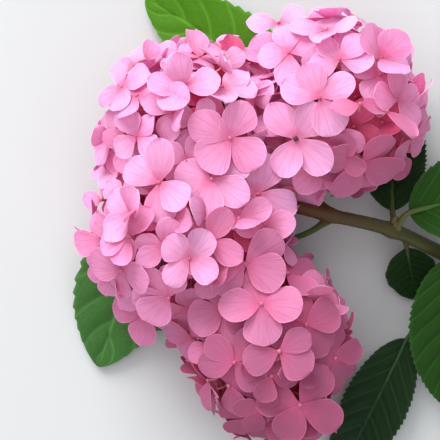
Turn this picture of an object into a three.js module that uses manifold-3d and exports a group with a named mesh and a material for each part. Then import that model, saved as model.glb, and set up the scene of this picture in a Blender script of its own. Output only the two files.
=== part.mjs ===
// A cut flowering branch of a mophead hydrangea, lying on its side.
// One large bloom of crowded four-sepalled florets stands round the head of a leafy stem.
// Millimetres, +Z up. The layout frame has the eye straight above its zero point and the floor at z = 0.

import * as THREE from "three";
import { mergeVertices } from "three/addons/utils/BufferGeometryUtils.js";
import Module from "manifold-3d";

const wasm = await Module();
wasm.setup();

// The point from which the bloom is seen, and the level at which places on the bloom are given.
const EYE_HEIGHT = 800;
const SIGHT_LEVEL = 60;

// Where the middle of the part's footprint falls in the layout frame.
const FOOTPRINT_MIDDLE = [51.75, -10.8];

// Clearance between one sub-part and the next, the size under which a sliver is merged, and the distance
// under which two corners are one.
const GAP = 0.3;
const SLIVER = 0.02;
const WELD = 1e-5;

// A floret: four sepals round the flared head of a thin stalk.
const SEPAL_WIDTH_SHARES = [0.7, 1.05];
const SEPAL_THICKNESS = 0.9;
const SEPAL_RIM_STEPS = 5;
const SEPAL_DISH = 1.3;
const SEPAL_RISE = 2.2;
const SEPAL_PAIR_DROP = 1.8;
const SEPAL_ROOT = 0.6;
const STALK_RADII = [0.7, 2.2];
const STALK_HEAD = 0.8;
const FILL_REACH = [15, 19];
const FILL_DEPTH = 4;
const FILL_LEAN = 0.3;
const FILL_TURN = 0.25;
const FLORET_SPACING = 22;

// Sepals that would reach below this level lie pressed flat between the bloom and the floor.
const PRESS_LEVEL = 5;

// How far a sepal may stand over the border of its lobe's space.
const BORDER_OVERREACH = 9;

// The lobes of the bloom: egg-shaped spaces that hold the florets' middles.
// at is the place seen from the eye, reach a sepal's length, face how far the floret turns to the eye,
// lean a sideways tilt, and turns the direction of each sepal in degrees.
const LOBES = [
  {
    name: "bloom_upper_left",
    centre: [-14.5, 41.5, 44],
    radii: [38, 38, 40],
    directions: 27,
    seed: 11,
    portraits: [
      { at: [-19.8, 59.4], reach: 18.5, face: 0.6, lean: [-0.1, 0.35], turns: [98, -18, -120, 188] },
      { at: [0.9, 59.9], reach: 16, face: 0.3, lean: [0, 0.6], turns: [160, 45, 8, -90] },
      { at: [4.5, 36.9], reach: 19, face: 0.85, lean: [0, 0], turns: [155, 65, -40, -135] },
      { at: [-37.6, 37.8], reach: 13, face: 0.5, lean: [-0.2, 0.3], turns: [110, 35, -145, -40] },
      { at: [-44.1, 62.1], reach: 15, face: 0.3, lean: [-0.4, 0.3], turns: [95, 190, -80, 10] },
      { at: [-14.9, 26.6], reach: 14, face: 0.6, lean: [0, 0], turns: [150, -130, 60, -30] },
      { at: [-37.4, 56], reach: 14, face: 0.5, lean: [-0.2, 0.3], turns: [60, 150, -115, -20] },
    ],
  },
  {
    name: "bloom_middle",
    centre: [-14.5, -5.5, 47.5],
    radii: [47.5, 37.5, 44],
    directions: 34,
    seed: 23,
    portraits: [
      { at: [-3.8, 18.5], reach: 18, face: 0.8, lean: [0, 0], turns: [38, -32, -102, 170] },
      { at: [17.1, 11.7], reach: 20, face: 0.8, lean: [0.1, -0.1], turns: [-20, -138, 80, 150] },
      { at: [-27.3, 16.9], reach: 20, face: 0.7, lean: [0, 0], turns: [145, -90, 95, -45] },
      { at: [-45.6, 25.2], reach: 15, face: 0.4, lean: [-0.5, 0.1], turns: [150, 90, -120, 0] },
      { at: [-41.1, -7.2], reach: 15, face: 0.5, lean: [-0.3, 0.3], turns: [188, -128, 90, 50] },
      { at: [-44.3, -22.5], reach: 18, face: 0.4, lean: [-0.4, -0.1], turns: [183, -112, 90, 0] },
      { at: [-23, -34.8], reach: 19, face: 0.6, lean: [-0.2, -0.3], turns: [195, -130, 132, 80] },
      { at: [11.5, -19.7], reach: 19, face: 0.8, lean: [0, 0], turns: [187, -140, 38, -22] },
      { at: [-54.9, -9.5], reach: 15, face: 0.2, lean: [-0.6, 0], turns: [200, 110, -70, 20] },
      { at: [-5, -9.5], reach: 16, face: 0.8, lean: [0, 0], turns: [-125, 155, 60, -30] },
      { at: [-24.8, -12.2], reach: 14, face: 0.7, lean: [0, -0.2], turns: [-150, -20, 80, 170] },
      { at: [-32.5, -43], reach: 17, face: 0.2, lean: [-0.2, -0.5], turns: [-98, 170, 80, 0] },
    ],
  },
  {
    name: "bloom_upper_right",
    centre: [56, 55, 44],
    radii: [39, 40, 40],
    directions: 27,
    seed: 37,
    portraits: [
      { at: [31, 75.2], reach: 16, face: 0.6, lean: [0, 0.2], turns: [93, 18, 180, -95] },
      { at: [44.8, 54.9], reach: 18, face: 0.6, lean: [0, 0], turns: [30, 160, -65, 110] },
      { at: [54, 72.1], reach: 15, face: 0.5, lean: [0, 0.25], turns: [45, -5, 195, 130] },
      { at: [34.2, 36.6], reach: 20, face: 0.8, lean: [-0.1, 0], turns: [112, 52, -50, -120] },
      { at: [63.9, 25.7], reach: 20, face: 0.45, lean: [0.1, -0.4], turns: [-25, 50, -125, 155] },
      { at: [80.1, 54], reach: 16, face: 0.4, lean: [0.45, 0.2], turns: [8, -40, 105, 180] },
      { at: [74.3, 76.5], reach: 17, face: 0.4, lean: [0.4, 0.3], turns: [60, 10, 150, -70] },
      { at: [27.9, 90.5], reach: 17, face: 0.3, lean: [0, 0.7], turns: [45, 175, -60, 110] },
      { at: [47.7, 85.5], reach: 16, face: 0.2, lean: [0, 0.6], turns: [-15, 80, 165, -100] },
      { at: [86.4, 36], reach: 15, face: 0.2, lean: [0.6, -0.3], turns: [0, -60, 80, 180] },
    ],
  },
  {
    name: "bloom_lower",
    centre: [21.5, -56, 42],
    radii: [38, 42, 40],
    directions: 27,
    seed: 51,
    portraits: [
      { at: [18.6, -37.7], reach: 19.5, face: 0.75, lean: [0, 0.2], turns: [186, -4, 88, -88] },
      { at: [35.9, -83], reach: 20, face: 0.75, lean: [0, 0], turns: [-25, 165, -115, 52] },
      { at: [6.6, -64], reach: 17, face: 0.6, lean: [-0.2, -0.1], turns: [190, -40, 140, 60] },
      { at: [26.6, -59], reach: 17, face: 0.7, lean: [0, 0], turns: [30, -32, 200, 120] },
      { at: [40.5, -46.4], reach: 18, face: 0.6, lean: [0.3, 0], turns: [25, -45, 110, 190] },
      { at: [30.2, -24.2], reach: 16, face: 0.6, lean: [0.2, 0.3], turns: [18, 85, -50, 165] },
      { at: [1.4, -40], reach: 18, face: 0.7, lean: [0, 0], turns: [205, -82, 110, 20] },
      { at: [54.8, -63], reach: 18, face: 0.4, lean: [0.5, 0], turns: [-60, 15, 100, 190] },
      { at: [4, -74.3], reach: 17, face: 0.3, lean: [-0.2, -0.4], turns: [-80, 190, 100, 10] },
      { at: [-12.2, -51.8], reach: 14, face: 0.3, lean: [-0.4, -0.3], turns: [-110, -80, 60, 170] },
    ],
  },
];

// The stem, from the knob inside the bloom to the flat cut end on the floor.
const STEM_ROUTE = [
  [30.5, 7, 50],
  [38.5, 5, 49],
  [51, 2, 45.5],
  [81, -5, 33],
  [112.5, -19, 17.5],
  [144, -31.5, 4],
];
const STEM_RADII = [2.9, 3.5];
const STEM_JOINTS = [0.155, 0.42, 0.715];
const STEM_JOINT_SWELL = 0.9;
const STEM_JOINT_LENGTH = 0.03;
const STEM_STEPS = 20;
const STEM_SIDES = 8;
const KNOB_RADIUS = 5.2;
const KNOB_RINGS = 6;

// Side buds that sit in the leaf joints of the stem.
const SIDE_BUD_SIDES = 6;
const SIDE_BUD_TIP_SHARE = 0.15;
const SIDE_BUDS = [
  { at: 0.42, toward: [0.2, 0.8, 0.5], length: 7, radius: 1.9 },
  { at: 0.715, toward: [0.5, -0.7, 0.5], length: 9, radius: 2.3 },
];

// One short bough leads from the knob to each lobe.
const BOUGH_RADII = [2, 1.5];
const BOUGH_SHARES = [0.45, 0.36, 0.4, 0.42];
const BOUGH_SIDES = 8;
const BOUGH_STEPS = 2;

// Inside a lobe: its own stem to a heart near the middle, and rays from there that carry the florets' stalks.
const LOBE_STEM_RADIUS = 1.5;
const LOBE_STEM_SIDES = 6;
const HEART_SHARE = 0.35;
const RAY_RADII = [1.3, 0.9];
const RAY_DIRECTIONS = 8;
const RAY_SHARE = 0.5;
const TWIG_SIDES = 3;

// Leaves: a stalk from the stem and a midrib, both given from the stem outward.
const LEAF_THICKNESS = 1.5;
const LEAF_FOLD = 0.18;
const LEAF_TIP_SHARE = 0.035;
const LEAF_WIDEST_SHIFT = 0.82;
const LEAF_FULLNESS = 0.66;
const LEAF_STEPS_ACROSS = 2;
const LEAF_STEPS_ALONG = 7;
const LEAF_STALK_RADII = [1.7, 1.3];
const LEAF_STALK_SINK = 0.1;
const LEAF_STALK_SIDES = 5;
const LEAF_STALK_STEPS = 6;
const LEAVES = [
  {
    name: "leaf_lower_left",
    stalk: [[50.9, 1, 44], [42, -5.5, 32], [30, -10, 18]],
    midrib: [[30, -10, 18], [-8, -12, 10], [-43, -33, 5.5], [-59, -71, 3]],
    halfWidth: 32,
    facing: [0, 0, 1],
  },
  {
    name: "leaf_upper_left",
    stalk: [[50.9, 3, 45], [46, 8.5, 37], [38.2, 17, 25]],
    midrib: [[38.2, 17, 25], [19, 55, 16], [-2.7, 84.6, 10], [-36, 107, 3.5]],
    halfWidth: 25,
    facing: [0, 0, 1],
  },
  {
    name: "leaf_right",
    stalk: [[81.9, -4.5, 34], [84, 0, 38], [87.5, 3.4, 39.5]],
    midrib: [[87.5, 3.4, 39.5], [106, 8, 39], [138, 12.5, 25.5], [172, 14.5, 5]],
    halfWidth: 24,
    facing: [-0.1, 0.1, 1],
  },
  {
    name: "leaf_under_bloom",
    stalk: [[80.4, -4.6, 33.3], [81, 0, 32], [81, 4.5, 27]],
    midrib: [[81, 4.5, 27], [82, 27, 14], [84, 48, 6], [86, 66, 2.6]],
    halfWidth: 16,
    facing: [0, 0, 1],
  },
  {
    name: "leaf_hanging",
    stalk: [[84.5, -6, 31.5], [87, -10, 27], [88.5, -13.5, 21]],
    midrib: [[88.5, -13.5, 21], [90.5, -21, 14.5], [93, -30, 7], [96, -38.5, 2.2]],
    halfWidth: 12,
    facing: [0, -0.35, 1],
  },
  {
    name: "leaf_large_right",
    stalk: [[112.5, -19, 18], [114, -15, 26], [110.5, -17, 31.5]],
    midrib: [[110.5, -17, 31.5], [107, -41, 28], [108, -66, 20], [115, -93, 8]],
    halfWidth: 17.5,
    facing: [-0.1, 0, 1],
  },
  {
    name: "leaf_bottom",
    stalk: [[112, -20, 16], [107, -32, 12.5], [98, -46, 12.5], [89.5, -57, 12.5]],
    midrib: [[89.5, -57, 12.5], [79, -79, 10], [67.5, -103, 6.5], [54, -130.5, 2.8]],
    halfWidth: 15.5,
    facing: [0, 0, 1],
  },
];

// Colours with roughness, for each kind of sub-part.
const FINISHES = {
  sepal: { color: 0xe08abb, roughness: 0.6 },
  stem: { color: 0x5a4a26, roughness: 0.55 },
  bough: { color: 0x8f5f4a, roughness: 0.6 },
  leaf: { color: 0x2f6b2e, roughness: 0.5 },
};

const vector = (xyz) => new THREE.Vector3(...xyz);
const mix = (a, b, share) => a + (b - a) * share;

// A repeatable number from 0 to 1 for a floret's number and the thing it is drawn for.
function draw(number, thing) {
  const wave = Math.sin(number * 12.9898 + thing * 78.233) * 43758.5453;
  return wave - Math.floor(wave);
}

// Direction number i of n, spread evenly over the sphere.
function evenDirection(i, n) {
  const goldenAngle = Math.PI * (3 - Math.sqrt(5));
  const height = 1 - (2 * i + 1) / n;
  const ring = Math.sqrt(1 - height * height);
  return new THREE.Vector3(ring * Math.cos(i * goldenAngle), ring * Math.sin(i * goldenAngle), height);
}

// Moves every vertex of a geometry to where place puts it, and returns the solid.
function solidFrom(geometry, place) {
  const position = geometry.attributes.position;
  for (let i = 0; i < position.count; i += 1) {
    const moved = place(position.getX(i), position.getY(i), position.getZ(i));
    position.setXYZ(i, moved.x, moved.y, moved.z);
  }
  geometry.deleteAttribute("normal");
  geometry.deleteAttribute("uv");
  const merged = mergeVertices(geometry, WELD);
  return new wasm.Manifold(
    new wasm.Mesh({
      numProp: 3,
      vertProperties: Float32Array.from(merged.attributes.position.array),
      triVerts: Uint32Array.from(merged.index.array),
    }),
  );
}

// The largest body of a solid, with slivers merged, sealed hollows filled and loose scraps dropped.
function mainBody(solid) {
  const bodies = solid.simplify(SLIVER).decompose();
  return bodies.reduce((best, body) => (body.volume() > best.volume() ? body : best));
}

function geometryOf(solid) {
  const mesh = solid.getMesh();
  const geometry = new THREE.BufferGeometry();
  geometry.setAttribute("position", new THREE.BufferAttribute(Float32Array.from(mesh.vertProperties), 3));
  geometry.setIndex(new THREE.BufferAttribute(Uint32Array.from(mesh.triVerts), 1));
  return geometry;
}

// A round limb along a curve, with a radius for each share of its length.
function limb(points, radiusAt, sides, steps) {
  const curve = new THREE.CatmullRomCurve3(points);
  const frames = curve.computeFrenetFrames(steps, false);
  const tube = new THREE.CylinderGeometry(1, 1, 1, sides, steps);
  return solidFrom(tube, (x, y, z) => {
    const share = y + 0.5;
    const step = Math.round(share * steps);
    const radius = radiusAt(share);
    return curve
      .getPointAt(share)
      .addScaledVector(frames.normals[step], x * radius)
      .addScaledVector(frames.binormals[step], -z * radius);
  });
}

function taper(radii, extra = 0) {
  return (share) => mix(radii[0], radii[1], share) + extra;
}

// The stem's radius: a slow swell to the cut end, with a thick ring at each leaf joint.
function stemRadius(share) {
  let radius = mix(...STEM_RADII, share);
  for (const joint of STEM_JOINTS) {
    radius += STEM_JOINT_SWELL * Math.exp(-(((share - joint) / STEM_JOINT_LENGTH) ** 2));
  }
  return radius;
}

// The stem with its knob and side buds, grown all over by extra.
function stemSolid(extra) {
  const route = STEM_ROUTE.map(vector);
  const curve = new THREE.CatmullRomCurve3(route);
  let stem = limb(route, (share) => stemRadius(share) + extra, STEM_SIDES, STEM_STEPS);
  const knob = new THREE.SphereGeometry(KNOB_RADIUS + extra, STEM_SIDES, KNOB_RINGS);
  stem = stem.add(solidFrom(knob, (x, y, z) => new THREE.Vector3(x, y, z).add(route[0])));
  for (const bud of SIDE_BUDS) {
    const foot = curve.getPointAt(bud.at);
    const tip = foot.clone().addScaledVector(vector(bud.toward).normalize(), bud.length);
    const radii = [bud.radius, bud.radius * SIDE_BUD_TIP_SHARE];
    stem = stem.add(limb([foot, tip], taper(radii, extra), SIDE_BUD_SIDES, 1));
  }
  return stem;
}

// Half the width of a leaf at a share of its length, as a part of its widest half width.
function leafOutline(share) {
  return Math.max(LEAF_TIP_SHARE, Math.sin(Math.PI * share ** LEAF_WIDEST_SHIFT) ** LEAF_FULLNESS);
}

// A leaf blade folded a little along its midrib, grown all over by extra.
function bladeSolid(leaf, extra) {
  const curve = new THREE.CatmullRomCurve3(leaf.midrib.map(vector));
  const facing = vector(leaf.facing);
  const board = new THREE.BoxGeometry(1, 1, 1, LEAF_STEPS_ACROSS, LEAF_STEPS_ALONG, 1);
  return solidFrom(board, (x, y, z) => {
    const share = y + 0.5;
    const along = curve.getTangentAt(share);
    const across = along.clone().cross(facing).normalize();
    const normal = across.clone().cross(along);
    const side = 2 * x * (leaf.halfWidth * leafOutline(share) + extra);
    const level = z * (LEAF_THICKNESS + 2 * extra) + LEAF_FOLD * Math.abs(side);
    return curve.getPointAt(share).addScaledVector(across, side).addScaledVector(normal, level);
  });
}

// A whole leaf: blade and stalk, with the stalk sunk into the foot of the blade.
function leafSolid(leaf, extra) {
  const midrib = new THREE.CatmullRomCurve3(leaf.midrib.map(vector));
  const sunk = midrib.getPointAt(LEAF_STALK_SINK);
  const route = [...leaf.stalk.map(vector), sunk];
  const stalk = limb(route, taper(LEAF_STALK_RADII, extra), LEAF_STALK_SIDES, LEAF_STALK_STEPS);
  return bladeSolid(leaf, extra).add(stalk);
}

// A height over the floor after pressing: unchanged above the press level, and never under the floor.
function pressed(height) {
  const depth = Math.min(0, height - PRESS_LEVEL) / PRESS_LEVEL;
  return Math.max(height, PRESS_LEVEL) + PRESS_LEVEL * (Math.exp(depth) - 1);
}

// One sepal: a dished lens, narrow at its root in the stalk's head and broad at its tip.
function sepalSolid(floret, turn, number) {
  const lens = new THREE.LatheGeometry(
    [new THREE.Vector2(0, -0.5), new THREE.Vector2(1, 0), new THREE.Vector2(0, 0.5)],
    SEPAL_RIM_STEPS,
  );
  const along = floret.side.clone().applyAxisAngle(floret.normal, turn);
  const across = floret.normal.clone().cross(along);
  const drop = number % 2 === 0 ? 0 : SEPAL_PAIR_DROP;
  return solidFrom(lens, (x, y, z) => {
    const share = (1 - z) / 2;
    const forward = mix(SEPAL_ROOT, floret.reach, share);
    const sideways = -x * (floret.reach / 2) * mix(...SEPAL_WIDTH_SHARES, share);
    const dish = SEPAL_DISH * (x * x + z * z - 1);
    const level = dish + SEPAL_RISE * share - drop * Math.sqrt(share);
    const point = floret.middle
      .clone()
      .addScaledVector(along, forward)
      .addScaledVector(across, sideways)
      .addScaledVector(floret.normal, level);
    point.z = pressed(point.z);
    return point.addScaledVector(floret.normal, y * SEPAL_THICKNESS);
  });
}

// The lobe's outward direction at a point on its surface.
function outward(lobe, point) {
  return point
    .clone()
    .sub(vector(lobe.centre))
    .divide(vector(lobe.radii))
    .divide(vector(lobe.radii))
    .normalize();
}

// Where the line of sight through a place on the sight level first meets a lobe.
function seenPoint(lobe, at) {
  const eye = new THREE.Vector3(0, 0, EYE_HEIGHT);
  const sight = new THREE.Vector3(at[0], at[1], SIGHT_LEVEL).sub(eye).normalize();
  const scaledEye = eye.clone().sub(vector(lobe.centre)).divide(vector(lobe.radii));
  const scaledSight = sight.clone().divide(vector(lobe.radii));
  const a = scaledSight.lengthSq();
  const b = scaledEye.dot(scaledSight);
  const c = scaledEye.lengthSq() - 1;
  const root = Math.sqrt(Math.max(0, b * b - a * c));
  return eye.addScaledVector(sight, (-b - root) / a);
}

// The florets that face the eye, placed one by one.
function portraitFlorets(lobe) {
  const up = new THREE.Vector3(0, 0, 1);
  return lobe.portraits.map((portrait) => {
    const middle = seenPoint(lobe, portrait.at);
    const normal = outward(lobe, middle)
      .lerp(up, portrait.face)
      .add(new THREE.Vector3(...portrait.lean, 0))
      .normalize();
    const side = new THREE.Vector3(1, 0, 0).projectOnPlane(normal).normalize();
    const turns = portrait.turns.map(THREE.MathUtils.degToRad);
    return { middle, normal, side, reach: portrait.reach, turns };
  });
}

// The florets that fill the rest of a lobe, spread evenly and shaken by seeded draws.
function fillFlorets(lobe, taken) {
  const florets = [];
  for (let i = 0; i < lobe.directions; i += 1) {
    const chance = (thing) => draw(lobe.seed + i, thing);
    const direction = evenDirection(i, lobe.directions);
    const surface = vector(lobe.centre).add(direction.clone().multiply(vector(lobe.radii)));
    const outwards = outward(lobe, surface);
    const middle = surface.addScaledVector(outwards, -FILL_DEPTH * chance(1));
    if (taken.some((floret) => floret.middle.distanceTo(middle) < FLORET_SPACING)) {
      continue;
    }
    const shake = new THREE.Vector3(chance(2) - 0.5, chance(3) - 0.5, chance(4) - 0.5);
    const normal = outwards.addScaledVector(shake, 2 * FILL_LEAN).normalize();
    const side = new THREE.Vector3(chance(5), 1, chance(6)).projectOnPlane(normal).normalize();
    const turns = [0, 1, 2, 3].map((quarter) => (quarter * Math.PI) / 2 + FILL_TURN * chance(7 + quarter));
    florets.push({ middle, normal, side, reach: mix(...FILL_REACH, chance(11)), turns });
  }
  return florets;
}

// Planes that part the space of a lobe from those of its neighbours.
function borderPlanes(lobe) {
  const centre = vector(lobe.centre);
  const planes = [];
  for (const other of LOBES.filter((one) => one !== lobe)) {
    const toward = vector(other.centre).sub(centre);
    const direction = toward.clone().normalize();
    const own = direction.clone().multiply(vector(lobe.radii)).length();
    const others = direction.clone().multiply(vector(other.radii)).length();
    const border = centre.clone().addScaledVector(toward, own / (own + others));
    planes.push(new THREE.Plane().setFromNormalAndCoplanarPoint(direction.negate(), border));
  }
  return planes;
}

// Whether a solid stays above the floor, in or near the lobe's space, and clear of what is in its way.
function keepsClear(solid, borders, obstacles) {
  const points = solid.getMesh().vertProperties;
  const point = new THREE.Vector3();
  for (let i = 0; i < points.length; i += 3) {
    point.set(points[i], points[i + 1], points[i + 2]);
    if (point.z < GAP || borders.some((plane) => plane.distanceToPoint(point) < -BORDER_OVERREACH)) {
      return false;
    }
  }
  return solid.intersect(obstacles).isEmpty();
}

// A lobe: its own stem, rays from the stem's end, and a stalked floret at the end of every twig.
function lobeSolid(lobe, boughTip, boughDirection, obstacles) {
  const centre = vector(lobe.centre);
  const borders = borderPlanes(lobe);
  const root = boughTip.clone().addScaledVector(boughDirection, GAP);
  const heart = centre.clone().lerp(root, HEART_SHARE);
  const pieces = [limb([root, heart], taper([LOBE_STEM_RADIUS, RAY_RADII[0]]), LOBE_STEM_SIDES, 1)];
  const rayTips = [heart];
  for (let i = 0; i < RAY_DIRECTIONS; i += 1) {
    const reach = evenDirection(i, RAY_DIRECTIONS).multiply(vector(lobe.radii)).multiplyScalar(RAY_SHARE);
    const tip = centre.clone().add(reach);
    const ray = limb([heart, tip], taper(RAY_RADII), TWIG_SIDES, 1);
    if (keepsClear(ray, borders, obstacles)) {
      pieces.push(ray);
      rayTips.push(tip);
    }
  }
  const portraits = portraitFlorets(lobe);
  for (const floret of [...portraits, ...fillFlorets(lobe, portraits)]) {
    const nearest = rayTips.reduce((best, tip) =>
      tip.distanceTo(floret.middle) < best.distanceTo(floret.middle) ? tip : best,
    );
    const head = floret.middle.clone().addScaledVector(floret.normal, STALK_HEAD);
    const stalk = limb([nearest, head], taper(STALK_RADII), TWIG_SIDES, 1);
    const beyond = borders.some((plane) => plane.distanceToPoint(floret.middle) < 0);
    if (beyond || !keepsClear(stalk, borders, obstacles)) {
      continue;
    }
    pieces.push(stalk);
    floret.turns.forEach((turn, number) => {
      const sepal = sepalSolid(floret, turn, number);
      if (keepsClear(sepal, borders, obstacles)) {
        pieces.push(sepal);
      }
    });
  }
  return mainBody(wasm.Manifold.union(pieces));
}

const group = new THREE.Group();
group.position.set(-FOOTPRINT_MIDDLE[0], -FOOTPRINT_MIDDLE[1], 0);

function addPart(name, solid, finish) {
  const material = new THREE.MeshStandardMaterial({ ...FINISHES[finish], metalness: 0 });
  const mesh = new THREE.Mesh(geometryOf(solid), material);
  mesh.name = name;
  group.add(mesh);
}

const grownStem = stemSolid(GAP);
addPart("main_stem", stemSolid(0), "stem");
let obstacles = stemSolid(2 * GAP);

for (const leaf of LEAVES) {
  addPart(leaf.name, mainBody(leafSolid(leaf, 0).subtract(grownStem)), "leaf");
  obstacles = obstacles.add(leafSolid(leaf, 2 * GAP));
}

const knobMiddle = vector(STEM_ROUTE[0]);
const boughs = LOBES.map((lobe, i) => {
  const toward = vector(lobe.centre).sub(knobMiddle);
  const tip = knobMiddle.clone().addScaledVector(toward, BOUGH_SHARES[i]);
  return { lobe, tip, direction: toward.normalize() };
});
for (const { lobe, tip } of boughs) {
  const bough = limb([knobMiddle, tip], taper(BOUGH_RADII), BOUGH_SIDES, BOUGH_STEPS);
  addPart(lobe.name.replace("bloom", "bough"), mainBody(bough.subtract(grownStem)), "bough");
  obstacles = obstacles.add(limb([knobMiddle, tip], taper(BOUGH_RADII, 2 * GAP), BOUGH_SIDES, BOUGH_STEPS));
}
for (const { lobe, tip, direction } of boughs) {
  const bloom = lobeSolid(lobe, tip, direction, obstacles);
  addPart(lobe.name, bloom, "sepal");
  obstacles = obstacles.add(bloom);
}

export default group;
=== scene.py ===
"""A cut flowering branch of a mophead hydrangea, lying on a pale floor.

Places are in millimetres in the layout frame, where the eye is straight above the zero point and the floor
is at height 0. Pieces are moved to the row frame, in metres, when their meshes are made."""

import math
from collections import namedtuple
from functools import partial
from types import SimpleNamespace

import bpy
import numpy as np
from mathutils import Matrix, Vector
from mathutils.bvhtree import BVHTree


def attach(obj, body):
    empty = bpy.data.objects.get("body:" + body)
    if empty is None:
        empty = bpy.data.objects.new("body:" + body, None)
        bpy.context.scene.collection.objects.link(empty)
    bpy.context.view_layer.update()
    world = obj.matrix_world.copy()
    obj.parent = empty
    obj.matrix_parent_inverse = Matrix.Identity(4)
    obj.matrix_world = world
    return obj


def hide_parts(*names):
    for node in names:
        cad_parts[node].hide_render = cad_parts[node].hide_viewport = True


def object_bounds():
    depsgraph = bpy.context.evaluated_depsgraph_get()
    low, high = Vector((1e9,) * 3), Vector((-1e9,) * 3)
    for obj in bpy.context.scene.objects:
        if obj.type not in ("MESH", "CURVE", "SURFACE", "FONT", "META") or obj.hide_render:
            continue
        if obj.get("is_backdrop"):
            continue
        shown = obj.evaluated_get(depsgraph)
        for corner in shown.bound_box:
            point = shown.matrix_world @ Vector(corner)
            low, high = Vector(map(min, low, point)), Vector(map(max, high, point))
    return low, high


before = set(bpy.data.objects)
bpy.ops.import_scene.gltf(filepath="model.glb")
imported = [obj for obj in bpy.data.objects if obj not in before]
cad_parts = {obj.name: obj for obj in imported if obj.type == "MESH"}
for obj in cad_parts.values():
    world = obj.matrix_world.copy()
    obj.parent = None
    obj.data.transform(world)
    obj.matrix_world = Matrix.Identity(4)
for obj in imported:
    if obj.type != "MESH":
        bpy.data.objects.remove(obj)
cad_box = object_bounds()

MM = 0.001
SHARP_ANGLE = math.radians(55)
FOOTPRINT_MIDDLE = np.array([51.75, -10.8, 0.0])

# Curves and tubes: fine steps between two points, a direction that no limb follows, and the size of the
# small rings that close a tube, as a share of its radius and as an angle at the poles of a ball.
CURVE_STEPS = 24
TUBE_SIDE = np.array([0.13, 0.31, 0.94])
TUBE_CAP = 0.02
BALL_CAP = 0.04

# The view: the photograph's width in millimetres at the sight level, seen from straight above.
EYE_HEIGHT = 800.0
SIGHT_LEVEL = 60.0
VIEW_WIDTH = 198.0
SENSOR_WIDTH = 36.0

# A floret: thin sepals round a small bud, on a thin stalk. Every second sepal lies lower.
SEPAL_THICKNESS = 0.18
SEPAL_WIDTH_SHARE = 0.8
SEPAL_START = 0.4
SEPAL_CLAW = 0.09
SEPAL_TIP = 0.03
SEPAL_PAIR_DROP = 1.1
SEPAL_RIM_WAVE = 0.04
BUD_RADII = (0.65, 1.1)
OPENED_BUD_RADIUS = 1.2
BUD_GROOVE = 0.2
BUD_GRID = (8, 16)
STALK_RADIUS = 0.55
STALK_STRAIGHT_END = 5.0

# Cells along and across a sepal: outer, inner, and as the coarse sheet used in the search for crossings.
SEPAL_GRID = (13, 8)
INNER_GRID = (8, 5)
PROXY_GRID = (4, 3)

# The filling florets' two layers: directions from a lobe's middle, depth under its surface, least distance
# between florets, and the ways that each floret is tried.
LAYERS = {
    "outer": {"directions": 110, "depth": 1.0, "spacing": 10.8, "attempts": 6, "first_number": 0},
    "inner": {"directions": 54, "depth": 12.0, "spacing": 12.5, "attempts": 2, "first_number": 100},
}
DRAWS_PER_ATTEMPT = 31
FILL_REACH = (12.0, 17.0)
FILL_LEAN = 0.6
FILL_TURN = 0.22
FILL_STAND = 1.0
FILL_DEPTH = 6.0
LEAST_HEIGHT = 3.0
LOBE_BORDER = 0.86

# Listed florets are numbered from here, and those this deep in their lobe count as inner.
PORTRAIT_NUMBERS = 300
DEEP_LIFT = -8.0

# What would reach below this level is pressed flat between the bloom and the floor.
PRESS_LEVEL = 5.0

# The lifts by which a sepal is fitted among its neighbours, as rise by length. A lift costs a little beside
# what it crosses, and the first that costs little enough is taken.
LIFTS = (0.0, 0.18, -0.15, 0.38, -0.3)
LIFT_COST = 0.6
SMALL_COST = 0.5
NEAR_REACH = 1.9

# Now and then a sepal stands up from its floret, more often among the filling florets.
STANDING_ANGLES = (math.radians(30), math.radians(65))
STANDING_SHARES = {"portrait": 0.04, "outer": 0.16, "inner": 0.1}

# The lobes of the bloom, egg-shaped spaces that hold the florets' middles. In one of them the portrait with
# the given number has opened its bud to dark stamens.
Lobe = namedtuple("Lobe", "name centre radii seed opened")
LOBES = [
    Lobe("upper_left", np.array([-14.5, 41.5, 44]), np.array([38.0, 38, 40]), 11, None),
    Lobe("middle", np.array([-14.5, -5.5, 47.5]), np.array([47.5, 37.5, 44]), 23, None),
    Lobe("upper_right", np.array([56.0, 55, 44]), np.array([39.0, 40, 40]), 37, 3),
    Lobe("lower", np.array([21.5, -56, 42]), np.array([38.0, 42, 40]), 51, None),
]

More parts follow.
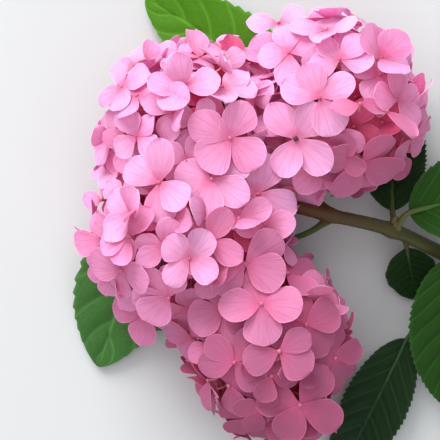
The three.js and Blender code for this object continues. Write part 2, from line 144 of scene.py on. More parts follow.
# A portrait is a floret that shows plainly from the eye: its place on the sight level, sepal length, how far
# it turns to the eye, a sideways lean, the direction of each sepal in degrees, and how far it stands off the
# lobe. Florets that mostly hide behind others have only the sepals that show.
PORTRAITS = {
    "upper_left": [
        ((-16.3, 59.6), 17, 0.45, (-0.1, 0.5), (106, 8, -122, 172), 1),
        ((0.9, 59.9), 16, 0.3, (0, 0.6), (160, 45, 8, -90), 0),
        ((4.5, 36.9), 19, 0.85, (0, 0), (155, 65, -40, -135), 3),
        ((-37.6, 37.8), 13, 0.5, (-0.2, 0.3), (110, 35, -145, -40), 0),
        ((-44.1, 60), 16, 0.5, (-0.3, 0.2), (100, 185, -80, 10), 1),
        ((-14.9, 26.6), 14, 0.6, (0, 0), (150, -130, 60, -30), -1),
        ((-37.4, 56), 14, 0.5, (-0.2, 0.3), (60, 150, -115, -20), -1),
        ((-38.2, 69.3), 14, 0.65, (-0.1, 0.2), (165, 80), -3),
        ((-34, 72), 12, 0.1, (0.9, -0.5), (66,), 1),
        ((0.5, 80), 11, 0.1, (-0.7, 0.6), (52,), 0),
        ((13, 70), 14, 0.3, (0, 0.3), (70, -25, 160, -115), -5),
        ((5, 76), 13, 0.35, (0, 0.4), (15, 110, -75, 200), -3),
        ((8, 69), 14, 0.8, (0, 0), (20, 110, 200, -70), -8),
        ((-4, 72), 14, 0.8, (0, 0), (50, 140, 230, -40), -8),
    ],
    "middle": [
        ((-3.8, 18.5), 18, 0.8, (0, 0), (38, -32, -102, 170), 2),
        ((17.1, 11.7), 20, 0.8, (0.1, -0.1), (-20, -138, 80, 150), 0),
        ((-27.3, 16.9), 18, 0.7, (-0.35, 0), (148, -90, 78, -40), 3),
        ((-47, 26), 16, 0.5, (-0.4, 0.1), (165, 95, -120, 0), 1),
        ((-41.1, -7.2), 15, 0.5, (-0.3, 0.3), (188, -128, 90, 50), 2),
        ((-44.3, -22.5), 18, 0.4, (-0.4, -0.1), (183, -112, 90, 0), 0),
        ((-23, -34.8), 19, 0.6, (-0.2, -0.3), (195, -130, 132, 80), 2),
        ((11.5, -19.7), 19, 0.8, (0, 0), (187, -140, 38, -22), 1),
        ((-53, -9.5), 14, 0.6, (-0.3, 0), (188, 110, -70, 20), -4),
        ((-53, 9), 11, 0.6, (-0.2, 0), (170, 80), -4),
        ((-5, -9.5), 16, 0.8, (0, 0), (-125, 155, 60, -30), -3),
        ((-24.8, -12.2), 14, 0.7, (0, -0.2), (-150, -20, 80, 170), -2),
        ((-34.5, -43), 17, 0.75, (-0.1, -0.1), (-94, 170, 80, 0), 1),
        ((27, 12), 15, 0.5, (0.3, 0), (-12, 80, -100, 170), -3),
        ((-15, -41), 15, 0.6, (-0.2, -0.2), (-60, 35, 120, 210), -4),
    ],
    "upper_right": [
        ((31, 75.2), 16, 0.6, (0, 0.2), (93, 18, 180, -95), 2),
        ((44.8, 54.9), 18, 0.6, (0, 0), (30, 160, -65, 110), 0),
        ((54, 72.1), 15, 0.5, (0, 0.25), (45, -5, 195, 130), 0),
        ((34.2, 36.6), 20, 0.8, (-0.1, 0), (128, 52, -42, -112), 4),
        ((63.9, 25.7), 20, 0.45, (0.1, -0.4), (-25, 50, -125, 155), 0),
        ((80.1, 54), 16, 0.4, (0.45, 0.2), (8, -40, 105, 180), 0),
        ((72.5, 73), 17, 0.45, (0.35, 0.25), (60, 5, 150, -70), 0),
        ((26.5, 88.5), 15, 0.7, (0, 0.3), (36, 172, -65), 0),
        ((47.7, 85.5), 16, 0.2, (0, 0.6), (-15, 80, 165, -100), 0),
        ((86.4, 36), 15, 0.2, (0.6, -0.3), (0, -60, 80, 180), 0),
        ((63, 52.2), 13, 0.25, (0, 0.8), (12, 200), 4),
        ((75, 49), 16, 0.1, (0.5, 0.8), (-32,), 3),
        ((72, 65.5), 14, 0.4, (0.1, 0.2), (75, -20, 165, -110), -3),
        ((36.5, 20), 17, 0.7, (-0.1, -0.2), (-70, 15, 110, 200), 1),
        ((73, 44), 14, 0.8, (0, 0), (35, 125, 215, -55), -9),
        ((80, 32), 14, 0.6, (0.2, 0), (10, 100, 190, -80), -9),
        ((60, 42), 14, 0.8, (0, 0), (60, 150, 240, -30), -10),
    ],
    "lower": [
        ((18.6, -37.7), 19.5, 0.75, (0, 0.2), (186, -4, 88, -88), 4),
        ((35.9, -83), 20, 0.75, (0, 0), (-25, 165, -115, 52), 1),
        ((6.6, -64), 17, 0.6, (-0.2, -0.1), (190, -40, 140, 60), 0),
        ((26.6, -59), 17, 0.7, (0, 0), (30, -32, 200), 1),
        ((38.5, -47), 18, 0.6, (0.3, 0), (25, -45, 110, 190), 0),
        ((30.2, -24.2), 16, 0.6, (0.2, 0.3), (18, 85, -50, 165), 0),
        ((1.4, -40), 18, 0.7, (0, 0), (205, -82, 110, 20), 1),
        ((51.5, -62), 16, 0.5, (0.3, 0), (-65, 15, 100, 190), -1),
        ((4, -74.3), 17, 0.5, (-0.2, -0.2), (-72, 100, 10), -2),
        ((-13, -53), 14, 0.6, (-0.3, -0.2), (-112, -80, 60, 170), 0),
        ((-5, -72), 15, 0.1, (-0.9, 0), (-85,), 0),
        ((48, -26.5), 9, 0.1, (1, 0), (88,), -4),
    ],
}

# The bloom's outline from the eye, on the sight level. A point of a filling floret outside it costs half a
# crossing, and a floret with many of them is left out.
OUTSIDE_COST = 0.5
OUTSIDE_LIMIT = 12
OUTLINE = [
    (-28, 77.5), (-37, 72), (-52, 72), (-54, 56), (-50, 51), (-58, 40), (-59, 27), (-57, 13.5), (-62, 9),
    (-58.5, -1), (-66.5, -11), (-63, -20), (-61, -30.5), (-54, -31.5), (-49, -44), (-41.5, -49.5),
    (-36, -60), (-31.5, -52), (-22.5, -56), (-13.5, -74), (-3, -88), (11, -94), (14, -104), (52, -104),
    (56, -82), (64, -67), (59, -54), (62, -40), (55, -34), (46, -19), (36, -5.5), (38, 2), (47, 9),
    (58.5, 9), (83, 18), (94, 33), (99, 45), (96, 50), (92, 64), (84, 76.5), (74, 86.5), (57.5, 94),
    (37, 98), (13, 93), (11, 80.5), (2, 80.5), (0, 83), (-16.5, 85.5),
]

# The stem, from the knob inside the bloom to the flat cut end on the floor.
STEM_ROUTE = [
    (30.5, 7, 50), (38.5, 5, 49), (51, 2, 45.5), (81, -5, 33), (112.5, -19, 17.5), (144, -31.5, 4),
]
KNOB = np.array(STEM_ROUTE[0], float)
KNOB_RADIUS = 5.2
STEM_RADII = (2.9, 3.5)
STEM_JOINTS = (0.155, 0.42, 0.715)
STEM_JOINT_SWELL = 0.9
STEM_JOINT_LENGTH = 0.03

# The stretch along x where the stem's colour drifts from its first tone to its second.
STEM_DRIFT = (30, 90)

# Side buds: place along the stem, direction, length and radius.
SIDE_BUDS = [(0.42, (0.2, 0.8, 0.5), 7, 1.9), (0.715, (0.5, -0.7, 0.5), 9, 2.3)]

# A bough leads from the knob over a share of the way to each lobe's middle. The lobe's own stem starts a
# gap beyond it and ends in the lobe's heart, and rays spread from there.
BOUGH_RADII = (2.0, 1.5)
BOUGH_SHARES = (0.45, 0.36, 0.4, 0.42)
GAP = 0.3
HEART_SHARE = 0.35
LOBE_STEM_RADII = (1.5, 1.3)
RAY_RADII = (1.3, 0.8)
RAY_DIRECTIONS = 8
RAY_SHARE = 0.5
RAY_BOW = 1.5
RAY_BORDER = 0.6

# Leaves: stalk and midrib from the stem outward, half width, facing, and the blade's green. The greens
# differ from leaf to leaf as painted light and shade: brightest on the upper left leaf, darkened as painted
# shade on the right, under-bloom, hanging, large right and bottom leaves.
LEAVES = [
    ("lower_left", [(50.9, 1, 44), (42, -5.5, 32), (30, -10, 18)],
     [(30, -10, 18), (-8, -12, 10), (-43, -33, 5.5), (-59, -71, 3)],
     32, (0, 0, 1), (0.06, 0.19, 0.036)),
    ("upper_left", [(50.9, 3, 45), (46, 8.5, 37), (38.2, 17, 25)],
     [(38.2, 17, 25), (19, 55, 16), (-2.7, 84.6, 10), (-36, 107, 3.5)],
     25, (0, 0, 1), (0.08, 0.26, 0.004)),
    ("right", [(81.9, -4.5, 34), (84, 0, 38), (87.5, 3.4, 39.5)],
     [(87.5, 3.4, 39.5), (106, 8, 39), (138, 12.5, 25.5), (172, 14.5, 5)],
     24, (-0.1, 0.1, 1), (0.02, 0.092, 0.004)),
    ("under_bloom", [(80.4, -4.6, 33.3), (81, 0, 32), (81, 4.5, 27)],
     [(81, 4.5, 27), (82, 27, 14), (84, 48, 6), (86, 66, 2.6)],
     16, (0, 0, 1), (0.01, 0.045, 0.004)),
    ("hanging", [(84.5, -6, 31.5), (87, -10, 27), (88.5, -13.5, 21)],
     [(88.5, -13.5, 21), (90.5, -21, 14.5), (93, -30, 7), (96, -38.5, 2.2)],
     12, (0, -0.35, 1), (0.008, 0.042, 0.003)),
    ("large_right", [(112.5, -19, 18), (114, -15, 26), (110.5, -17, 31.5)],
     [(110.5, -17, 31.5), (107, -41, 28), (108, -66, 20), (115, -93, 8)],
     17.5, (-0.1, 0, 1), (0.016, 0.08, 0.004)),
    ("bottom", [(112, -20, 16), (107, -32, 12.5), (98, -46, 12.5), (89.5, -57, 12.5)],
     [(89.5, -57, 12.5), (79, -79, 10), (67.5, -103, 6.5), (54, -130.5, 2.8)],
     15.5, (0, 0, 1), (0.008, 0.035, 0.006)),
]
LEAF_STALK_RADII = (1.6, 0.35)
LEAF_STALK_FOOT = 0.9
LEAF_STALK_LEVEL = 0.3
LEAF_FOLD = 0.18
LEAF_THICKNESS = 0.6
LEAF_LEVEL = 0.4
LEAF_WIDEST_SHIFT = 0.82
LEAF_FULLNESS = 0.66
LEAF_GRID = (140, 30)
LEAF_TEETH = 26
LEAF_TOOTH_DEPTH = 0.075
LEAF_SIDE_VEINS = 8
LEAF_VEIN_SWEEP = 0.26
LEAF_PUCKER = 1.5
LEAF_CHANNEL_DEPTH = 0.9
LEAF_CHANNEL_WIDTH = 1.3
LEAF_WAVE = 0.8

# Base colours of the sepals, palest first, as linear red, green, blue. They are lit and shaded copies of one
# pink, dealt out by place as painted light and painted shade and by chance as the sepals' own spread of
# tone; then the tone of those deep in the gaps.
SEPAL_TONES = [
    (1.0, 0.66, 0.98),
    (1.0, 0.58, 0.92),
    (0.96, 0.46, 0.77),
    (0.80, 0.32, 0.56),
    (0.62, 0.205, 0.38),
    (0.48, 0.135, 0.26),
]
# Painted glow: the deep pink of the florets deep in the gaps stands in for light passed and bounced between
# the sepals.
PAINTED_GAP_GLOW_TONE = (1.0, 0.25, 0.5)

# The colour at a sepal's root, deeper partly as its own colour and partly as painted shade of the gaps
# between the claws, and that of the light through it, each for outer and for inner florets; the inner pair
# is deeper still, with the painted glow of the gaps.
ROOT_TONES = [(0.86, 0.17, 0.38), (0.74, 0.07, 0.19)]
GLOWS = [(1.0, 0.18, 0.42), (1.0, 0.1, 0.24)]

# How light a floret's tone is in the middle of the view, and how that changes with its place and by chance.
# The change with place is painted light, lighter upward and darker rightward; the change by chance is the
# sepals' own spread of tone.
LIGHTNESS = 0.68
PAINTED_LIGHT_UPWARD = 0.003
PAINTED_SHADE_RIGHTWARD = 0.001
LIGHTNESS_SPREAD = 0.34

# Places on the bloom with painted shade, duskier sepal tones where the lower lobe and the underside of the
# upper right lobe lie in shade: x, y, radius and depth of shade, full from a level upward.
PAINTED_SHADES = [(38, -80, 50, 0.66), (74, 20, 32, 0.56)]
PAINTED_SHADE_LEVEL = 62.0
LEAST_PAINTED_SHADE = 0.25

# Lights: name, place, width in metres, power and colour. All point at the bloom's middle.
LIGHTS = [
    ("key", (-1000, 2200, 1500), 1.9, 98, (1.0, 0.99, 1.0)),
    ("fill", (-150, 150, 1200), 1.0, 4.5, (0.97, 0.98, 1.0)),
    ("front fill", (500, -1700, 900), 1.5, 8.5, (1.0, 0.98, 0.97)),
]
LIGHT_TARGET = (0, 0, 50)
SKY_COLOUR = (0.86, 0.92, 1.0)
SKY_STRENGTH = 0.52
FLOOR_COLOUR = (0.62, 0.63, 0.615)
FLOOR_HALF_WIDTH = 12.0


def draw(number, thing):
    """A repeatable number from 0 to 1 for a floret's number and the thing it is drawn for."""
    wave = math.sin(number * 12.9898 + thing * 78.233) * 43758.5453
    return wave - math.floor(wave)


def mix(a, b, share):
    return a + (b - a) * share


def unit(vector):
    vector = np.asarray(vector, float)
    return vector / np.linalg.norm(vector)


def flattened(vector, normal):
    """The part of a vector that lies in the plane of a normal, as a unit vector."""
    return unit(vector - normal * np.dot(vector, normal))


def even_direction(i, n):
    """Direction number i of n, spread evenly over the sphere."""
    golden_angle = math.pi * (3 - math.sqrt(5))
    height = 1 - (2 * i + 1) / n
    ring = math.sqrt(1 - height * height)
    return np.array([ring * math.cos(i * golden_angle), ring * math.sin(i * golden_angle), height])


def smooth_route(points, steps):
    """steps + 1 evenly spaced points along a smooth curve through the given points, and their tangents."""
    points = np.asarray(points, float)
    ends = [2 * points[0] - points[1], *points, 2 * points[-1] - points[-2]]
    fine = []
    for a, b, c, d in zip(ends, ends[1:], ends[2:], ends[3:]):
        for t in np.linspace(0, 1, CURVE_STEPS, endpoint=False):
            straight = 2 * b + (c - a) * t
            bend = (2 * a - 5 * b + 4 * c - d) * t**2
            sway = (3 * b - a - 3 * c + d) * t**3
            fine.append(0.5 * (straight + bend + sway))
    fine = np.array([*fine, points[-1]])
    lengths = np.concatenate([[0], np.cumsum(np.linalg.norm(np.diff(fine, axis=0), axis=1))])
    wanted = np.linspace(0, lengths[-1], steps + 1)
    route = np.stack([np.interp(wanted, lengths, fine[:, k]) for k in range(3)], axis=1)
    tangents = np.gradient(route, axis=0)
    return route, tangents / np.linalg.norm(tangents, axis=1, keepdims=True)


class Shape:
    """Vertices and faces gathered from many small parts, with one material number for each face."""

    def __init__(self):
        self.parts = []
        self.count = 0

    def add(self, points, quads, uv=None, tint=1.0, material=0):
        """Adds one part. Its tint is one number, or one or three numbers for each point."""
        uv = np.zeros((len(points), 2)) if uv is None else uv
        tints = np.ones((len(points), 4))
        tints[:, :3] = tint
        self.parts.append((points, quads + self.count, np.full(len(quads), material), uv, tints))
        self.count += len(points)

    def add_sheet(self, points, half, grid, uv, tint=1.0, material=0):
        """Adds a closed thin shell: a grid of points moved by half the thickness to either side."""
        both = np.stack([points + half, points - half])
        uv = np.broadcast_to(uv, (2, *uv.shape)).reshape(-1, 2)
        tint = np.broadcast_to(tint, both.shape).reshape(-1, 3)
        self.add(both.reshape(-1, 3), shell_quads(*grid), uv, tint, material)

    def add_tube(self, points, radius_at, sides, steps, tint):
        """Adds a round limb along a smooth curve."""
        made, quads, places = tube(points, radius_at, sides, steps)
        self.add(made, quads, places, tint)

    def piece(self, name, materials, slot, *nodes):
        """Makes one mesh object of all that was added, which rides on the root body."""
        points, quads, numbers, uvs, tints = map(np.concatenate, zip(*self.parts))
        points = (points - FOOTPRINT_MIDDLE) * MM
        mesh = bpy.data.meshes.new(name)
        mesh.vertices.add(len(points))
        mesh.vertices.foreach_set("co", points.ravel())
        mesh.loops.add(quads.size)
        mesh.loops.foreach_set("vertex_index", quads.ravel().astype(np.int32))
        mesh.polygons.add(len(quads))
        mesh.polygons.foreach_set("loop_start", np.arange(0, quads.size, 4, dtype=np.int32))
        mesh.polygons.foreach_set("material_index", numbers.astype(np.int32))
        mesh.polygons.foreach_set("use_smooth", np.ones(len(quads), bool))
        layer = mesh.uv_layers.new(name="Surface")
        layer.data.foreach_set("uv", uvs[quads.ravel()].ravel())
        tint = mesh.color_attributes.new("tint", "FLOAT_COLOR", "POINT")
        tint.data.foreach_set("color", tints.ravel())
        for material in materials:
            mesh.materials.append(material)
        mesh.update(calc_edges=True)
        mesh.validate()
        mesh.set_sharp_from_angle(angle=SHARP_ANGLE)
        made = in_scene(name, mesh)
        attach(made, "root")
        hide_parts(*nodes)


def grid_quads(rows, columns):
    """Quads of a grid of rows by columns of cells, over (rows + 1) by (columns + 1) points."""
    i, j = np.meshgrid(np.arange(rows), np.arange(columns), indexing="ij")
    first = (i * (columns + 1) + j).ravel()
    return np.stack([first, first + 1, first + columns + 2, first + columns + 1], axis=1)


def shell_quads(rows, columns):
    """Quads of a closed thin shell: a top grid, a bottom grid after it, and the rim that joins them."""
    top = grid_quads(rows, columns)
    size = (rows + 1) * (columns + 1)
    width = columns + 1
    there = [*range(width), *range(width + columns, size, width)]
    back = [*range(size - 2, size - width - 1, -1), *range(size - 2 * width, 0, -width)]
    edge = np.array(there + back)
    following = np.roll(edge, -1)
    rim = np.stack([edge, edge + size, following + size, following], axis=1)
    return np.concatenate([top[:, ::-1], top + size, rim[:, ::-1]])


def tube_quads(sides, rings):
    """Quads between the rings of a tube and over its two ends, for an even number of sides."""
    ring = np.arange(sides)
    following = np.roll(ring, -1)
    band = np.stack([ring, following, following + sides, ring + sides], axis=1)
    quads = [k * sides + band for k in range(rings - 1)]
    for start, order in ((0, -1), ((rings - 1) * sides, 1)):
        for i in range(1, sides // 2):
            cap = np.array([i - 1, i, sides - 1 - i, (sides - i) % sides])
            quads.append([start + cap[::order]])
    return np.concatenate(quads)


def tube(points, radius_at, sides, steps, relief=None):
    """A round limb along a smooth curve, closed at both ends. Returns its points, quads and UV places."""
    route, tangents = smooth_route(points, steps)
    normal = flattened(TUBE_SIDE, tangents[0])
    rings, places = [], []
    angles = np.arange(sides) * 2 * math.pi / sides
    length = np.linalg.norm(np.diff(route, axis=0), axis=1).sum()
    for k, (centre, tangent) in enumerate(zip(route, tangents)):
        normal = flattened(normal, tangent)
        across = np.cross(tangent, normal)
        share = k / steps
        radius = radius_at(share) * np.ones(sides)
        if relief is not None:
            radius = radius + relief(share * length, angles)
        around = np.cos(angles)[:, None] * normal + np.sin(angles)[:, None] * across
        rings.append(centre + radius[:, None] * around)
        places.append(np.stack([angles, np.full(sides, share * length)], axis=1))
    rings.insert(0, route[0] + TUBE_CAP * (rings[0] - route[0]))
    rings.append(route[-1] + TUBE_CAP * (rings[-1] - route[-1]))
    places = [places[0], *places, places[-1]]
    return np.concatenate(rings), tube_quads(sides, len(rings)), np.concatenate(places)


def taper(radii):
    """The radius of an evenly tapering limb, as a function of the share of its length."""
    return partial(mix, *radii)


def ball_grid(rows, columns):
    """The turn and tilt of each point of a ball, and its quads."""
    polar = np.linspace(BALL_CAP, math.pi - BALL_CAP, rows + 1)
    turn, tilt = np.meshgrid(np.arange(columns) * 2 * math.pi / columns, polar)
    return turn, tilt, tube_quads(columns, rows + 1)[:, ::-1]


def scaled(colour, factor, white=0.0):
    """A colour times a factor, with some white added."""
    return tuple(min(1.0, factor * part + white) for part in colour)


def in_scene(name, data):
    """A new object in the scene."""
    made = bpy.data.objects.new(name, data)
    bpy.context.scene.collection.objects.link(made)
    return made


class Finish:
    """A new material, to which nodes are added."""

    def __init__(self, name):
        self.material = bpy.data.materials.new(name)
        self.material.use_nodes = True
        self.tree = self.material.node_tree
        self.tree.nodes.clear()

    def node(self, kind, inputs, **settings):
        """Adds a node. Inputs go by name or number, each with a socket to link or a value to hold."""
        made = self.tree.nodes.new("ShaderNode" + kind)
        for key, value in settings.items():
            setattr(made, key, value)
        for key, value in inputs.items():
            socket = made.inputs[key]
            if isinstance(value, bpy.types.NodeSocket):
                self.tree.links.new(value, socket)
            elif socket.type == "RGBA":
                socket.default_value = (*value, 1)
            else:
                socket.default_value = value
        return made

    def tint(self):
        """The three numbers of the tint at a point."""
        tint = self.node("Attribute", {}, attribute_name="tint")
        return self.node("SeparateColor", {0: tint.outputs["Color"]}).outputs[:3]

    def place(self):
        """The place on the part's surface, from its UV map."""
        return self.node("UVMap", {}, uv_map="Surface").outputs[0]

    def maths(self, operation, *inputs):
        """A math node on numbers or sockets."""
        return self.node("Math", dict(enumerate(inputs)), operation=operation).outputs[0]

    def blended(self, factor, first, second, mode="MIX"):
        """A mix of two colours or sockets."""
        inputs = {0: factor, 6: first, 7: second}
        return self.node("Mix", inputs, data_type="RGBA", blend_type=mode).outputs[2]

    def painted(self, colour, over, where, share):
        """A colour with another one painted over it where a grey value is light, up to a share."""
        return self.blended(self.maths("MULTIPLY", where, share), colour, over)

    def ramp(self, value, stops):
        """A smooth ramp of grey values over a socket."""
        made = self.node("ValToRGB", {0: value})
        made.color_ramp.interpolation = "EASE"
        elements = made.color_ramp.elements
        while len(elements) < len(stops):
            elements.new(0.5)
        for element, (position, grey) in zip(elements, stops):
            element.position = position
            element.color = (grey, grey, grey, 1)
        return made.outputs[0]

    def surface(self, colour, shine, height, strength, distance):
        """A surface of a colour and shine, with fine relief by a height."""
        bump = self.node("Bump", {"Strength": strength, "Distance": distance, "Height": height})
        inputs = {"Base Color": colour, "Normal": bump.outputs[0], **shine}
        return self.node("BsdfPrincipled", inputs).outputs[0]

    def lit_through(self, surface, share, colour):
        """A surface that lets a share of the light through, in a colour of its own."""
        through = self.node("BsdfTranslucent", {"Color": colour})
        return self.node("MixShader", {0: share, 1: surface, 2: through.outputs[0]}).outputs[0]

    def done(self, shader):
        """The material, with a shader as its surface."""
        self.node("OutputMaterial", {0: shader})
        return self.material


def sepal_material(name, tone, root_tone, glow):
    """Soft, finely veined sepal: a painted highlight along the rim, a deeper root that is partly painted
    shade between the claws, and light that shines through from behind.
    """
    finish = Finish(name)
    rim, along, chance = finish.tint()
    stretch = finish.node("Mapping", {"Vector": finish.place(), "Scale": (21, 1.2, 1)})
    fine = {"Vector": stretch.outputs[0], "Scale": 1.0, "Detail": 2.0}
    veins = finish.node("TexNoise", fine, noise_dimensions="2D").outputs["Fac"]
    lines = finish.ramp(veins, [(0.38, 1.0), (0.48, 0.15), (0.58, 0.0)])
    # The deeper root is partly the sepal's own colour and partly painted shade of the gaps between the
    # claws.
    root = finish.ramp(along, [(0.0, 1.0), (0.12, 0.8), (0.3, 0.3), (0.7, 0.0)])
    # Painted highlight: a paler band along the sepal's rim, where its edges catch the light.
    edge = finish.ramp(rim, [(0.72, 0.0), (1.0, 1.0)])
    vein_tone = tuple(mix(0.7 * part, deep, 0.4) for part, deep in zip(tone, root_tone))
    colour = finish.painted(tone, root_tone, root, 0.9)
    colour = finish.painted(colour, vein_tone, lines, mix(0.75, 0.42, tone[0]))
    colour = finish.painted(colour, scaled(tone, 1.2, 0.1), edge, 0.6)
    mottle = finish.node("TexNoise", {"Scale": 240, "Detail": 3.0}).outputs["Fac"]
    shade = finish.maths("MULTIPLY_ADD", chance, 0.16, 0.9)
    shade = finish.maths("MULTIPLY_ADD", mottle, 0.1, shade)
    grey = finish.node("CombineColor", {0: shade, 1: shade, 2: shade}).outputs[0]
    colour = finish.blended(1.0, colour, grey, "MULTIPLY")
    shine = {"Roughness": 0.55, "Specular IOR Level": 0.3}
    shine |= {"Sheen Weight": 0.12, "Sheen Roughness": 0.4, "Sheen Tint": (0.95, 0.9, 1.0)}
    surface = finish.surface(colour, shine, veins, 0.8, 0.0003)
    return finish.done(finish.lit_through(surface, 0.42, finish.blended(0.55, colour, glow)))


def leaf_material(name, green):
    """Veined green blade, lighter along the veins and on the toothed rim, with a satin shine."""
    finish = Finish(name)
    place = finish.node("SeparateXYZ", {0: finish.place()})
    side = finish.maths("ABSOLUTE", place.outputs[0])
    cycle = finish.maths("PINGPONG", place.outputs[1], 0.5)
    side_vein = finish.ramp(cycle, [(0.0, 1.0), (0.045, 0.35), (0.13, 0.0)])
    midrib = finish.ramp(side, [(0.0, 1.0), (0.02, 0.9), (0.06, 0.0)])
    vein = finish.maths("MAXIMUM", side_vein, midrib)
    cells = finish.node("TexVoronoi", {"Scale": 330}, feature="DISTANCE_TO_EDGE")
    net = finish.ramp(cells.outputs["Distance"], [(0.0, 1.0), (0.09, 0.0)])
    rim = finish.ramp(side, [(0.9, 0.0), (1.0, 1.0)])
    patches = finish.node("TexNoise", {"Scale": 70, "Detail": 5.0}).outputs["Fac"]
    colour = finish.blended(patches, scaled(green, 0.62), scaled(green, 1.25))
    for where, share in ((net, 0.28), (vein, 0.6), (rim, 0.4)):
        colour = finish.painted(colour, scaled(green, 1.7, 0.03), where, share)
    height = finish.maths("MULTIPLY_ADD", net, -0.5, finish.maths("MULTIPLY", vein, -0.6))
    shine = {"Roughness": 0.46, "Specular IOR Level": 0.2}
    surface = finish.surface(colour, shine, height, 0.5, 0.0004)
    glow = finish.blended(0.5, colour, scaled(green, 2.2))
    return finish.done(finish.lit_through(surface, 0.2, glow))


def stalk_material(name, first, second):
    """Smooth green wood or stalk whose colour drifts between two tones, with small pores."""
    finish = Finish(name)
    drift = finish.node("TexNoise", {"Scale": 90, "Detail": 4.0}).outputs["Fac"]
    base = finish.maths("SUBTRACT", finish.tint()[0], 0.25)
    amount = finish.maths("MULTIPLY_ADD", drift, 0.5, base)
    amount = finish.maths("MINIMUM", finish.maths("MAXIMUM", amount, 0.0), 1.0)
    pores = finish.node("TexVoronoi", {"Scale": 700}).outputs["Distance"]
    dots = finish.ramp(pores, [(0.0, 1.0), (0.22, 0.0)])
    colour = finish.blended(amount, first, second)
    colour = finish.painted(colour, scaled(second, 1.8, 0.02), dots, 0.4)
    shine = {"Roughness": 0.5, "Specular IOR Level": 0.25}
    return finish.done(finish.surface(colour, shine, dots, 0.4, 0.0003))


def pressed(heights):
    """Heights over the floor after pressing: unchanged above the press level, never under the floor."""
    depth = np.minimum(0, heights - PRESS_LEVEL) / PRESS_LEVEL
    return np.maximum(heights, PRESS_LEVEL) + PRESS_LEVEL * (np.exp(depth) - 1)


def outward(lobe, point):
    """The lobe's outward direction at a point on its surface."""
    return unit((point - lobe.centre) / lobe.radii ** 2)


def seen_point(lobe, at, lift):
    """Where the line of sight through a place on the sight level first meets a lobe grown by lift."""
    radii = lobe.radii + lift
    eye = np.array([0, 0, EYE_HEIGHT])
    sight = unit(np.array([*at, SIGHT_LEVEL]) - eye)
    scaled_eye = (eye - lobe.centre) / radii
    scaled_sight = sight / radii
    a = np.dot(scaled_sight, scaled_sight)
    b = np.dot(scaled_eye, scaled_sight)
    c = np.dot(scaled_eye, scaled_eye) - 1
    root = math.sqrt(max(0, b * b - a * c))
    return eye + sight * (-b - root) / a


def depth_in(lobe, point):
    """Below 1 inside a lobe's space, 1 on its surface."""
    return np.linalg.norm((point - lobe.centre) / lobe.radii)


def depth_in_others(lobe, point):
    """The depth in the nearest of the other lobes."""
    return min(depth_in(other, point) for other in LOBES if other is not lobe)


def outside_count(points):
    """How many of the points fall outside the bloom's outline from the eye."""
    points = np.asarray(points)
    seen = points[:, :2] * ((EYE_HEIGHT - SIGHT_LEVEL) / (EYE_HEIGHT - points[:, 2:]))
    inside = np.zeros(len(seen), bool)
    for (x0, y0), (x1, y1) in zip(OUTLINE, OUTLINE[1:] + OUTLINE[:1]):
        spans = (y0 > seen[:, 1]) != (y1 > seen[:, 1])
        inside ^= spans & (seen[:, 0] < x0 + (x1 - x0) * (seen[:, 1] - y0) / ((y1 - y0) or 1))
    return len(seen) - np.count_nonzero(inside)


def sepal_grid(rows, columns):
    """Places on a sepal: share of its length, closer together at both ends, and side from -1 to 1."""
    share = (1 - np.cos(np.linspace(0, math.pi, rows + 1))) / 2
    side = np.linspace(-1, 1, columns + 1)
    return np.meshgrid(share, side, indexing="ij")


def sepal_outline(share, widest, blunt):
    """Half the width of a sepal at a share of its length: a narrow claw that opens to a round blade."""
    inner = np.clip(share / widest, 0, 1)
    outer = np.clip((share - widest) / (1 - widest), 0, 1)
    opening = SEPAL_CLAW + (1 - SEPAL_CLAW) * np.sin(math.pi / 2 * inner) ** 1.15
    closing = np.maximum(0, 1 - outer**blunt) ** 0.55
    return np.maximum(SEPAL_TIP, opening * closing)


def sepal_points(floret, number, lift, grid):
    """The middle surface of a sepal, its UV places, nearness to the rim and share of the length."""
    share, side = sepal_grid(*grid)
    shape = floret.shapes[number]
    reach = floret.reach * shape.length
    half = 0.5 * floret.reach * SEPAL_WIDTH_SHARE * shape.width
    wave = 1 + SEPAL_RIM_WAVE * np.sin(9 * share + 20 * shape.wave) * side
    across = side * half * sepal_outline(share, shape.widest, shape.blunt) * wave
    notch = shape.notch * reach * np.exp(-((side / 0.25) ** 2)) * share**8
    forward = SEPAL_START + (reach - SEPAL_START) * share - notch
    curl = shape.cup * across**2 / half + shape.bend * reach * share**2
    ripple = shape.ripple * np.sin(6 * share + 17 * shape.wave + 1.5 * side) * side**2 * share
    drop = 0 if number % 2 == 0 else SEPAL_PAIR_DROP
    height = curl + ripple + shape.twist * across * share + (shape.rise + lift) * reach * share
    height -= drop * np.sqrt(share)
    forward, height = (
        forward * math.cos(shape.stand) - height * math.sin(shape.stand),
        forward * math.sin(shape.stand) + height * math.cos(shape.stand),
    )
    along = floret.along[number]
    sideways = np.cross(floret.normal, along)
    points = floret.middle + forward[..., None] * along + across[..., None] * sideways
    points += height[..., None] * floret.normal
    points[..., 2] = pressed(points[..., 2])
    fan = np.arctan2(across, reach * (share + 0.1))
    rim = np.maximum(np.abs(side) ** 5, share**9)
    return points, np.stack([fan, share], -1), rim, share


def sepal_shape(number, kind):
    """The seeded form of a sepal, calmer where its floret is one of the listed portraits."""
    chance = partial(draw, number)
    calm = 0.6 if kind == "portrait" else 1.0
    stand = mix(*STANDING_ANGLES, chance(33))
    return SimpleNamespace(
        length=mix(0.9, 1.06, chance(21)),
        width=mix(0.84, 1.2, chance(22)),
        widest=mix(0.5, 0.64, chance(31)),
        wave=chance(23),
        ripple=mix(0.3, 1.1, chance(24)),
        cup=mix(-0.16, 0.36, chance(25)) * calm,
        bend=mix(-0.3, 0.16, chance(26)) * calm,
        notch=0.05 * max(0, chance(27) - 0.5),
        blunt=mix(1.7, 2.7, chance(28)),
        twist=mix(-0.3, 0.3, chance(29)),
        rise=mix(-0.1, 0.26, chance(30)),
        stand=stand if chance(32) < STANDING_SHARES[kind] else 0,
    )


